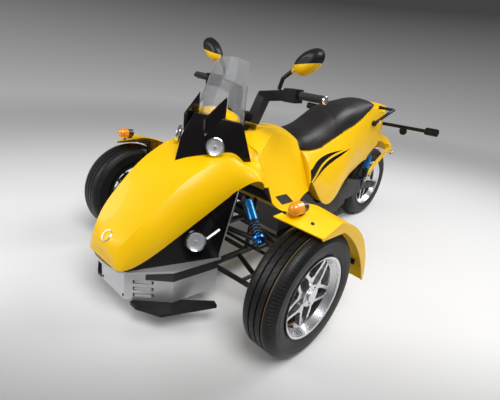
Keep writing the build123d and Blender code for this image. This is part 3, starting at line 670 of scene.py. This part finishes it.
def mirrored(piece, name):
    rest_and_choose(piece)
    bpy.ops.object.duplicate()
    twin = bpy.context.object
    twin.name = name
    twin.scale.y = -1
    bpy.ops.object.transform_apply(location=True, rotation=True, scale=True)
    bpy.ops.object.mode_set(mode="EDIT")
    close_mesh_outwards()
    return twin


def joined(name, pieces):
    rest_all()
    for piece in pieces:
        piece.select_set(True)
    bpy.context.view_layer.objects.active = pieces[0]
    bpy.ops.object.join()
    whole = bpy.context.object
    whole.name = name
    return whole


def deliver(piece, body, paint, angle=35):
    rest_and_choose(piece)
    piece.data.materials.clear()
    piece.data.materials.append(paint)
    bpy.ops.object.shade_smooth_by_angle(angle=radians(angle))
    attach(piece, body)
    print(piece.name, "on", body, len(piece.data.polygons), "faces")


print("placing helpers ready")

# %% [markdown]
# ## Tyre rubber
# The road tyres have slanted slits across the ribs, a ribbed shoulder and a thin tan line. The slits
# are too fine to model, so the rubber finish cuts them with a bump that counts turns round the hub,
# and paints shade into the slits and shoulder ribs.

# %% Rubber with slits
SLITS, SLIT_SLANT, SHOULDER_RIBS = 52, 38, 118
# Painted shade: colour and share of the darkening inside the slits and shoulder ribs
CUT_PAINTED_SHADE, CUT_SHADE_SHARE = (0.003, 0.003, 0.003), 0.8
TAN, TAN_SHARE, TAN_Y, TAN_HALF_WIDTH, TAN_FROM_R = (0.23, 0.13, 0.03), 0.75, 0.0358, 0.0011, 0.25
CUT_STRENGTH, CUT_DEPTH = 0.7, 0.003


def tyre_rubber(name, centre, out):
    paint = finish(name, (0.0075, 0.007, 0.0075), 0.44, scale=900, pebbles=0.3, bump=0.1, tint=0.2,
                   dusty=0.04, specular=0.3)
    tree = paint.node_tree
    axes = object_axes(tree, centre)
    angle = maths(tree, "ARCTAN2", axes["X"], axes["Z"])
    across = maths(tree, "MULTIPLY", axes["Y"], out)
    squares = [maths(tree, "MULTIPLY", axes[axis], axes[axis]) for axis in ("X", "Z")]
    radius = maths(tree, "SQRT", maths(tree, "ADD", *squares))

    slant = maths(tree, "MULTIPLY", across, SLIT_SLANT)
    turns = maths(tree, "ADD", maths(tree, "MULTIPLY", angle, SLITS / tau), slant)
    slit = ramp(tree, maths(tree, "FRACT", turns), 0.24, 0.16)
    on_tread = ramp(tree, radius, 0.2590, 0.2605)
    inner_ribs = ramp(tree, across, 0.028, 0.026)
    slit = maths(tree, "MULTIPLY", maths(tree, "MULTIPLY", slit, on_tread), inner_ribs)

    turns = maths(tree, "MULTIPLY", angle, SHOULDER_RIBS / tau)
    comb = ramp(tree, maths(tree, "FRACT", turns), 0.34, 0.22)
    shoulder_from, shoulder_to = ramp(tree, radius, 0.236, 0.246), ramp(tree, radius, 0.2616, 0.2585)
    comb = maths(tree, "MULTIPLY", comb, maths(tree, "MULTIPLY", shoulder_from, shoulder_to))
    cut = maths(tree, "MAXIMUM", slit, comb)
    # Painted shade: the slits and shoulder ribs are painted darker than the rubber
    paint_over(paint, maths(tree, "MULTIPLY", cut, CUT_SHADE_SHARE), CUT_PAINTED_SHADE)

    line = maths(tree, "COMPARE", across, TAN_Y, TAN_HALF_WIDTH)
    line = maths(tree, "MULTIPLY", line, maths(tree, "GREATER_THAN", radius, TAN_FROM_R))
    paint_over(paint, maths(tree, "MULTIPLY", line, TAN_SHARE), TAN)

    relief = tree.nodes.new("ShaderNodeBump")
    relief.invert = True
    relief.inputs["Strength"].default_value = CUT_STRENGTH
    relief.inputs["Distance"].default_value = CUT_DEPTH
    shader = tree.nodes["Principled BSDF"]
    tree.links.new(cut, relief.inputs["Height"])
    tree.links.new(shader.inputs["Normal"].links[0].from_socket, relief.inputs["Normal"])
    tree.links.new(relief.outputs["Normal"], shader.inputs["Normal"])
    return paint


print("rubber ready")

# %% [markdown]
# ## Tyres
# Three grooves run round the tread. They are deep enough to show in the outline, so they are turned
# on the lathe as part of the profile, between the two side walls.

# %% Three tyres
TREAD_R, GROOVE_DEPTH = 262.0, 6.5
GROOVE_TOP, GROOVE_FLOOR = 3.2, 2.2
# Side wall of a tyre, bead to tread: radius, inset from the full half width
SIDE_WALL = [
    (158.3, 19), (170, 13), (182, 7), (184, 5.2), (187, 5.0), (189, 4.6), (205, 1.2), (212, 0),
    (226, 1.4), (228, 0.9), (231, 1.2), (233, 2.6), (242, 5), (250, 10.2), (255.5, 15.6),
    (259, 21.5), (261.2, 28), (262, 34),
]
FRONT_TYRE, REAR_TYRE = (150, (30, 2, -26)), (164, (30, 0, -30))


def tyre(name, size, centre, out, body, node):
    width, grooves = size
    half, floor_r = width / 2, TREAD_R - GROOVE_DEPTH
    rings = [(r, half - inset) for r, inset in SIDE_WALL]
    for y in grooves:
        rings += [(TREAD_R, y + GROOVE_TOP), (floor_r, y + GROOVE_FLOOR)]
        rings += [(floor_r, y - GROOVE_FLOOR), (TREAD_R, y - GROOVE_TOP)]
    rings += [(r, inset - half) for r, inset in reversed(SIDE_WALL)]
    rings.append(rings[0])
    piece = stand(lathe(name, rings, steps=96, solid=False), centre, (0, out, 0))
    deliver(piece, body, tyre_rubber(name + "_rubber", centre, out), 40)
    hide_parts(node)


tyre("tyre_left", FRONT_TYRE, hub["front_left"], 1, "front_wheel_left", "front_tyre_left")
tyre("tyre_right", FRONT_TYRE, hub["front_right"], -1, "front_wheel_right", "front_tyre_right")
tyre("tyre_rear", REAR_TYRE, hub["rear"], 1, "rear_wheel", "rear_tyre")

# %% [markdown]
# ## Lug nuts
# Five bright nuts sit in the dark pockets round each hub. A nut is modelled from a six-sided
# cylinder, with its top face inset and pulled up into a cone. The five are spaced round the axle and
# joined into one ring.

# %% Nuts on the three wheels
NUT_R, NUT_TALL = 0.0062, 0.012
NUT_CHAMFERS = [(0.0012, 0.0016), (0.002, 0.001)]
NUTS, NUT_CIRCLE_R, FIRST_NUT = 5, 0.034, 54
FACING_UP = 0.9


def pick_top(piece):
    bpy.ops.object.mode_set(mode="EDIT")
    bpy.ops.mesh.select_all(action="DESELECT")
    bpy.ops.object.mode_set(mode="OBJECT")
    for face in piece.data.polygons:
        face.select = face.normal.z > FACING_UP
    bpy.ops.object.mode_set(mode="EDIT")
    bpy.ops.mesh.select_mode(type="FACE")


def nut(name):
    rest_all()
    bpy.ops.mesh.primitive_cylinder_add(vertices=6, radius=NUT_R, depth=NUT_TALL,
                                        location=(0, 0, NUT_TALL / 2))
    piece = bpy.context.object
    piece.name = name
    pick_top(piece)
    for inset, rise in NUT_CHAMFERS:
        bpy.ops.mesh.inset(thickness=inset)
        bpy.ops.transform.translate(value=(0, 0, rise))
    bpy.ops.object.mode_set(mode="OBJECT")
    return piece


def nut_ring(name, centre, out, face_y, body):
    ring = []
    for step in range(NUTS):
        angle = radians(FIRST_NUT + step * 360 / NUTS)
        around = Vector((NUT_CIRCLE_R * cos(angle), out * face_y, NUT_CIRCLE_R * sin(angle)))
        ring.append(stand(nut(name), centre + around, (0, out, 0)))
    deliver(joined(name, ring), body, chrome, 25)


nut_ring("nuts_left", hub["front_left"], 1, 0.037, "front_wheel_left")
nut_ring("nuts_right", hub["front_right"], -1, 0.037, "front_wheel_right")
nut_ring("nuts_rear", hub["rear"], 1, 0.044, "rear_wheel")

# %% [markdown]
# ## Lamps
# Each lamp is a bright ring, a shallow dished reflector and a clear lens. All three are turned shapes
# on one axis, so the lathe makes them and they are then stood on the panel, facing the way the CAD
# lamp faces.

# %% Four lamps
lens_clear = finish("lamp_lens", (0.95, 0.96, 0.97), 0.03, scale=120, bump=0.02, tint=0.01)
set_shader(lens_clear, {"Transmission Weight": 1.0, "IOR": 1.12})
reflector = finish("lamp_reflector", (0.62, 0.63, 0.65), 0.5, metallic=0.9, scale=500, bump=0.03,
                   tint=0.06)
# Lamps: name, centre, facing direction, radius
LAMPS = [
    ("cowl", (50, 124, 706), (0.66, 0.72, 0.2), 40),
    ("panel", (197, 220, 347), (0.62, 0.74, 0.26), 41),
]


def lamp_parts(r):
    bowl_r, lens_r = r - 7, r - 7.2
    ring = [(r, -4), (r, 7), (r - 1.6, 10), (r - 4, 10.8), (r - 6.2, 9.6), (bowl_r, 6.5),
            (bowl_r, -4), (r, -4)]
    bowl = [(bowl_r, 6.4), (r - 12, 4.4), (r - 20, 3.2), (9, 2.6), (8, 6), (5, 7.4), (2, 7.6),
            (2, 1.2), (bowl_r, 1.2), (bowl_r, 6.4)]
    lens = [(lens_r, 8.4), (r - 12, 9.6), (r - 22, 10.8), (4, 11.4), (4, 10.4), (r - 22, 9.8),
            (r - 12, 8.7), (lens_r, 7.4), (lens_r, 8.4)]
    return [
        ("bezel", ring, chrome, "lamp_chrome"),
        ("bowl", bowl, reflector, "lamp_chrome"),
        ("lens", lens, lens_clear, "clear_screen"),
    ]


for name, centre, facing, r in LAMPS:
    for part, rings, paint, slot in lamp_parts(r):
        turned = lathe(f"{name}_{part}_left", rings, solid=False)
        left = stand(turned, spot(*centre), facing)
        for piece in (left, mirrored(left, f"{name}_{part}_right")):
            deliver(piece, "chassis", paint)
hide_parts("headlamps")

# %% [markdown]
# ## Boss on the nose
# A plain boss sits on the tip of the hood: a bright ring round a low dome in the body's yellow. Both
# are turned shapes on the hood's own normal.

# %% Nose boss
BOSS_PLACE, BOSS_OUT = spot(467, 0, 355), (0.72, 0, 0.69)
BOSS_RING = [(26, -4), (26, 2.4), (24.5, 4), (22.5, 3.8), (21, 1.4), (20.5, -4)]
BOSS_DOME = [(21, -4), (21, 1.0), (13, 2.4), (6, 3.2), (1.5, 3.5)]
boss = stand(lathe("nose_boss", BOSS_RING, steps=40), BOSS_PLACE, BOSS_OUT)
deliver(boss, "chassis", alloy)
dome = stand(lathe("nose_dome", BOSS_DOME, steps=40), BOSS_PLACE, BOSS_OUT)
deliver(dome, "chassis", yellow)

# %% [markdown]
# ## Hand grips
# The grips are soft rubber with raised rings, closed by a bright cap at the outer end. The rings come
# from the profile.

# %% Grips and end caps
GRIP_FROM, GRIP_TO = spot(-252, 294, 943), spot(-264, 418, 943)
GRIP_R, CORE_R, VALLEY_R, RIDGE_R = 17, 12, 15.6, 16.8
RIDGES, RIDGE_PITCH = 17, 5.6
grip_axis = (GRIP_TO - GRIP_FROM).normalized()
grip_mm = (GRIP_TO - GRIP_FROM).length * MM
rings = [(CORE_R, 0.5), (16.6, 0.5), (GRIP_R, 3), (GRIP_R, 9)]
for ridge in range(RIDGES):
    h = ridge * RIDGE_PITCH
    rings += [(VALLEY_R, 11 + h), (VALLEY_R, 13 + h), (RIDGE_R, 13.8 + h), (RIDGE_R, 15.8 + h)]
rings += [(GRIP_R, grip_mm - 15), (GRIP_R, grip_mm - 10.2), (CORE_R, grip_mm - 10.2), (CORE_R, 0.5)]
left = stand(lathe("grip_left", rings, steps=40, solid=False), GRIP_FROM, grip_axis)
right_grip = mirrored(left, "grip_right")
cap_rings = [(11.6, -9.8), (17, -9.8), (17.2, -2), (15, 0), (9, 0.6), (3, 0.8)]
cap_rings = [(r, grip_mm + past_end) for r, past_end in cap_rings]
cap = stand(lathe("grip_end_left", cap_rings, steps=40), GRIP_FROM, grip_axis)
right_cap = mirrored(cap, "grip_end_right")
for piece in (left, right_grip):
    deliver(piece, "handlebar", grip_rubber)
for piece in (cap, right_cap):
    deliver(piece, "handlebar", chrome)
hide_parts("grips")

# %% [markdown]
# ## Saddle
# The real saddle is foam under stretched vinyl: full in the middle, pulled in at its lower edge, with
# a soft dip where the rider's place rises to the passenger's. Cloth with a little air pressure gives
# that swell. The CAD block is copied, shrunk slightly, remeshed evenly and blown up for twenty
# frames, with its lower edge pinned where it sits on the tail.

# %% Saddle padding
MERGE_CAD = 0.00005
SEAT_SHRINK, SEAT_VOXEL, SWELL_CAP = 0.004, 0.011, 0.007
AIR_PRESSURE, BLOW_FRAMES, CLOTH_STEPS = 4.0, 20, 3
FACING_DOWN = -0.25
seat_low, seat_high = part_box("seat")
pad = bpy.data.objects.new("saddle_pad", nodes["seat"].data.copy())
bpy.context.collection.objects.link(pad)
rest_and_choose(pad)
open_mesh()
bpy.ops.mesh.remove_doubles(threshold=MERGE_CAD)
bpy.ops.mesh.normals_make_consistent(inside=False)
bpy.ops.transform.shrink_fatten(value=-SEAT_SHRINK)
bpy.ops.object.mode_set(mode="OBJECT")
pad.data.remesh_voxel_size = SEAT_VOXEL
bpy.ops.object.voxel_remesh()
before = [vertex.co.copy() for vertex in pad.data.vertices]
held = pad.vertex_groups.new(name="held")
held.add([v.index for v in pad.data.vertices if v.normal.z < FACING_DOWN], 1.0, "REPLACE")
bpy.ops.object.modifier_add(type="CLOTH")
cloth = pad.modifiers[-1]
cloth.settings.quality = CLOTH_STEPS
cloth.settings.use_pressure = True
cloth.settings.uniform_pressure_force = AIR_PRESSURE
cloth.settings.effector_weights.gravity = 0.0
cloth.settings.vertex_group_mass = "held"
cloth.point_cache.frame_start = 1
cloth.point_cache.frame_end = BLOW_FRAMES
for step in range(1, BLOW_FRAMES + 1):
    bpy.context.scene.frame_set(step)
bpy.ops.object.modifier_apply(modifier=cloth.name)
bpy.context.scene.frame_set(1)
for vertex, start in zip(pad.data.vertices, before):
    move = vertex.co - start
    if move.length > SWELL_CAP:
        vertex.co = start + move * (SWELL_CAP / move.length)
print("saddle", round(seat_high[0] - seat_low[0], 3), "m,", len(pad.data.vertices), "points")

# %% [markdown]
# ## Dip in the saddle
# A remesh wipes out shallow lines, so the dip comes afterwards: it crosses the step and bends forward
# down the sides. Points near the line are pressed in, the most on the line itself. The vinyl is a
# dark, pebbled skin.

# %% Pressed dip and vinyl
CREASE_X, CREASE_DEPTH, CREASE_WIDE = spot(-905, 0, 0).x, 0.0014, 0.032
CREASE_BEND, CREASE_POWER = 0.9, 1.5
ON_TOP = 0.02
for vertex in pad.data.vertices:
    if vertex.normal.z < ON_TOP:
        continue
    line = CREASE_X + CREASE_BEND * abs(vertex.co.y) ** CREASE_POWER
    near = max(0.0, 1 - abs(vertex.co.x - line) / CREASE_WIDE)
    vertex.co -= vertex.normal * CREASE_DEPTH * near * near
bpy.ops.object.modifier_add(type="SUBSURF")
pad.modifiers[-1].levels = 1
pad.modifiers[-1].render_levels = 1
bpy.ops.object.modifier_apply(modifier=pad.modifiers[-1].name)
vinyl = finish("seat_vinyl", (0.016, 0.0135, 0.0135), 0.42, scale=700, pebbles=0.85, bump=0.16,
               tint=0.15, specular=0.28)
deliver(pad, "chassis", vinyl, 60)
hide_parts("seat")

# %% [markdown]
# ## Small straight trim
# Slit lights, bright edge lines and grille plates are all small straight pieces. A strip is a cube
# made long and thin, bevelled, and laid from one point to another with its flat side out.

# %% Strips
STRIP_EDGE = 0.0003  # metres of bevel for each millimetre of the thinner side


def strip(name, start, end, out, wide, thick):
    rest_all()
    a, b = spot(*start), spot(*end)
    bpy.ops.mesh.primitive_cube_add(size=1, location=(0, 0, 0))
    piece = bpy.context.object
    piece.name = name
    piece.scale = ((b - a).length, wide / MM, thick / MM)
    bpy.ops.object.transform_apply(location=False, rotation=False, scale=True)
    open_mesh()
    bpy.ops.mesh.bevel(offset=min(wide, thick) * STRIP_EDGE, segments=2)
    bpy.ops.object.mode_set(mode="OBJECT")
    along = (b - a).normalized()
    up_side = (Vector(out) - along * Vector(out).dot(along)).normalized()
    turned = Matrix((along, up_side.cross(along), up_side)).transposed()
    piece.rotation_euler = turned.to_euler()
    piece.location = (a + b) / 2
    bpy.ops.object.transform_apply(location=True, rotation=True, scale=True)
    return piece


print("strips ready")

# %% Slit lights and bright edges of the lamp panels
PANEL_OUT = (0.25, 0.96, 0.12)
white_light = finish("slit_light", (0.90, 0.91, 0.93), 0.2, coat=0.6, scale=200, bump=0.02, tint=0.02)
set_shader(white_light, {"Emission Color": (1, 1, 1, 1), "Emission Strength": 0.5})
slit = strip("slit_light_left", (144, 224, 346), (88, 239, 381), PANEL_OUT, wide=9, thick=5)
edge_line = strip("panel_edge_left", (6, 244, 540), (92, 253, 264), PANEL_OUT, wide=5, thick=4)
for piece, paint, slot in ((slit, white_light, "lamp_chrome"), (edge_line, silver, "silver_paint")):
    twin = mirrored(piece, piece.name.replace("left", "right"))
    deliver(piece, "chassis", paint)
    deliver(twin, "chassis", paint)

# %% Grille plates behind the bumper's slots
FACET_START, FACET_RUN = Vector((447, 95, 0)), Vector((-141, 133, 0))
FACET_OUT, PLATE_SUNK = Vector((0.686, 0.7275, 0)), 6
PLATE_ROWS, PLATE_ENDS = (124.5, 155.5, 186.5), (0.2, 0.55)
pale = finish("grille_plate", (0.66, 0.61, 0.62), 0.5, scale=600, bump=0.04, tint=0.05, dusty=0.1)
for row, z in enumerate(PLATE_ROWS):
    level_line = FACET_START - FACET_OUT * PLATE_SUNK + Vector((0, 0, z))
    a, b = [level_line + FACET_RUN * end for end in PLATE_ENDS]
    plate = strip(f"grille_plate_{row}_left", a, b, FACET_OUT, wide=15.5, thick=2)
    for piece in (plate, mirrored(plate, f"grille_plate_{row}_right")):
        deliver(piece, "chassis", pale)

# %% [markdown]
# ## Cowl with two blades
# On the real vehicle the cowl is a low black prow, and two thin blades rise from it in front of the
# screen, with the yellow dash showing between them. The CAD cowl is one closed prow with full horns.
# Here a copy is cut off along the foot of the screen, and the blades are made again as slim wedges: a
# small box drawn out to a tip.

# %% Prow of the cowl
CUT_FRONT, CUT_BACK = spot(72, 0, 826), spot(-130, 0, 806)
PROW_EDGE = 0.0025
prow = bpy.data.objects.new("cowl_prow", nodes["cowl"].data.copy())
bpy.context.collection.objects.link(prow)
rest_and_choose(prow)
open_mesh()
bpy.ops.mesh.remove_doubles(threshold=MERGE_CAD)
for side in (1, -1):
    cut_side = spot(-63, side * 163, 806)
    outward = (cut_side - CUT_FRONT).cross(CUT_BACK - CUT_FRONT).normalized()
    outward = outward if outward.z > 0 else -outward
    bpy.ops.mesh.select_all(action="SELECT")
    bpy.ops.mesh.bisect(plane_co=CUT_FRONT, plane_no=outward, use_fill=True, clear_outer=True)
close_mesh_outwards()
bpy.ops.object.modifier_add(type="BEVEL")
prow.modifiers[-1].width = PROW_EDGE
prow.modifiers[-1].segments = 2
prow.modifiers[-1].limit_method = "ANGLE"
bpy.ops.object.modifier_apply(modifier=prow.modifiers[-1].name)
deliver(prow, "chassis", gloss_black, 25)
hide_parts("cowl")

# %% Two blades
BLADE_FOOT, BLADE_TOP, BLADE_TIP = spot(30, 75, 772), spot(30, 75, 809.5), spot(-24, 88, 899)
BLADE_SIZE, BLADE_TURN, BLADE_EDGE = (0.078, 0.016, 0.075), radians(-14.6), 0.0012
TIP_SHARE = (0.06, 0.2, 1)
rest_all()
bpy.ops.mesh.primitive_cube_add(size=1, location=(0, 0, 0))
left_blade = bpy.context.object
left_blade.name = "cowl_blade_left"
left_blade.scale = BLADE_SIZE
left_blade.rotation_euler.z = BLADE_TURN
left_blade.location = BLADE_FOOT
bpy.ops.object.transform_apply(location=True, rotation=True, scale=True)
for face in left_blade.data.polygons:
    face.select = face.normal.z > FACING_UP
bpy.ops.object.mode_set(mode="EDIT")
bpy.ops.mesh.select_mode(type="FACE")
draw_out = {"value": tuple(BLADE_TIP - BLADE_TOP)}
bpy.ops.mesh.extrude_region_move(TRANSFORM_OT_translate=draw_out)
bpy.ops.transform.resize(value=TIP_SHARE, center_override=tuple(BLADE_TIP))
bpy.ops.mesh.select_all(action="SELECT")
bpy.ops.mesh.bevel(offset=BLADE_EDGE, segments=2)
bpy.ops.object.mode_set(mode="OBJECT")
for piece in (left_blade, mirrored(left_blade, "cowl_blade_right")):
    deliver(piece, "chassis", gloss_black, 25)

# %% [markdown]
# ## Dash
# The yellow dash is a low dome behind the screen's foot. Only its crown shows, so a sphere squashed
# to the right proportions gives the shape.

# %% Yellow dash
DASH_PLACE, DASH_HALF_SIZE = spot(-66, 0, 806), (0.058, 0.128, 0.040)
rest_all()
bpy.ops.mesh.primitive_uv_sphere_add(segments=48, ring_count=24, radius=1, location=(0, 0, 0))
dash = bpy.context.object
dash.name = "dash_dome"
dash.scale = DASH_HALF_SIZE
dash.location = DASH_PLACE
bpy.ops.object.transform_apply(location=True, rotation=True, scale=True)
deliver(dash, "chassis", yellow)

# %% [markdown]
# ## Bolts
# Black button-head bolts hold the mudguards and the bumper, and a bright one closes each grab
# handle's foot. A bolt is turned on the lathe. Those on the mudguards ride with the knuckles.

# %% Bolts on mudguards, bumper and handles
# Bolts: name, place, direction, head radius, body, finish, slot
BOLTS = [
    ("fender_bolt_front", (87, 554, 580), (0.25, 0.1, 1), 7, "knuckle", frame_black, "frame_black"),
    ("fender_bolt_rear", (34, 643, 560), (0.1, 0.3, 1), 7, "knuckle", frame_black, "frame_black"),
    ("bumper_bolt", (446.5, 84, 116), (1, 0, 0), 6, "chassis", frame_black, "frame_black"),
    ("handle_boss_rear", (-1365, 164, 757), (0, 1, 0.1), 9, "chassis", chrome, "bright_metal"),
]
# Button head: share of its radius, height
BUTTON_HEAD = [(1, -2), (1, 1.2), (0.86, 2.6), (0.55, 3.2), (0.5, 1.4), (0.1, 1.4)]
for name, place, out, size, body, paint, slot in BOLTS:
    head = [(size * share, h) for share, h in BUTTON_HEAD]
    left = stand(lathe(name + "_left", head, steps=20), spot(*place), out)
    for piece, side in ((left, "left"), (mirrored(left, name + "_right"), "right")):
        rides = body if body == "chassis" else f"{body}_{side}"
        deliver(piece, rides, paint)
